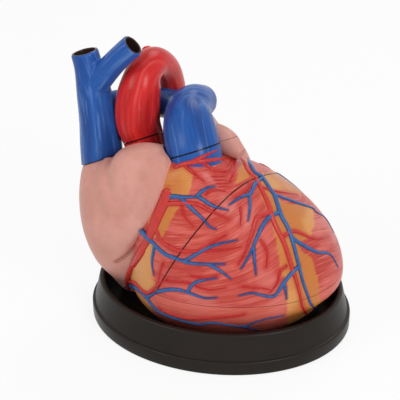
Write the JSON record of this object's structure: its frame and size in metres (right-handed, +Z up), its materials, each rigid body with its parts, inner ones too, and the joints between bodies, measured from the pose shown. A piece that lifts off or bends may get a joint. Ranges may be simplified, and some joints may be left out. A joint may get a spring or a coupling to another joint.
{
  "type": "anatomical heart model",
  "caption": "Enlarged anatomical human heart on an oval display base, with lift-off great vessels and a pull-off front wall over open chambers and valves.",
  "frame": {"origin": "centre of the underside of the felt sheet, where the base stands on the table", "axes": "+Z up, +X along the length of the oval base towards the apex side of the heart, +Y away from the viewer, towards the back of the heart"},
  "size_m": [0.2684, 0.21, 0.2868],
  "materials": {
    "felt": "black felt",
    "base_plastic": "satin black-brown moulded plastic",
    "screws": "zinc plated",
    "inserts": "plain turned",
    "muscle": "glossy paint, darker fine brush strokes",
    "atrium": "glossy pink paint",
    "vein": "glossy blue paint with vertical brush streaks",
    "artery": "glossy red paint with brush streaks",
    "coronary_artery": "glossy red paint on the raised lines",
    "coronary_vein": "glossy blue paint on the raised lines",
    "valve": "soft cream",
    "strings": "ivory",
    "papillary": "painted as the muscle",
    "pins": "ground steel",
    "sockets": "light grey nylon"
  },
  "bodies": {
    "stand": {"felt_sheet": "felt", "base_cover": "base_plastic", "cover_screws": "screws", "base_shell": "base_plastic", "heart_bolts": "screws", "bolt_washers": "screws", "bolt_inserts": "inserts", "ventricles": "muscle", "right_atrium": "atrium", "right_auricle": "atrium", "left_atrium": "atrium", "left_auricle": "atrium", "lower_vena_cava": "vein", "pulmonary_veins": "artery", "pulmonary_root": "vein", "aortic_root": "artery", "pulmonary_valve": "valve", "aortic_valve": "valve", "three_leaf_valve": "valve", "two_leaf_valve": "valve", "right_papillary_muscles": "papillary", "left_papillary_muscles": "papillary", "right_heart_strings": "strings", "left_heart_strings": "strings", "rear_coronary_arteries": "coronary_artery", "rear_coronary_veins": "coronary_vein", "wall_pins": "pins", "cap_pins": "pins"},
    "front_piece": {"front_wall": "muscle", "front_coronary_arteries": "coronary_artery", "front_coronary_veins": "coronary_vein", "wall_sockets": "sockets"},
    "vessel_cap": {"aortic_arch": "artery", "arch_branches": "artery", "pulmonary_trunk": "vein", "upper_vena_cava": "vein", "left_atrium_roof": "atrium", "left_auricle_tip": "atrium", "cap_sockets": "sockets"}
  },
  "joints": [
    {"name": "front_wall_pull", "type": "slide", "parent": "stand", "child": "front_piece", "axis": [0.9336, -0.3584, 0], "range_m": [0, 0.16]},
    {"name": "cap_lift", "type": "slide", "parent": "stand", "child": "vessel_cap", "axis": [-0.3872, 0.2918, 0.8746], "range_m": [0, 0.12]}
  ]
}
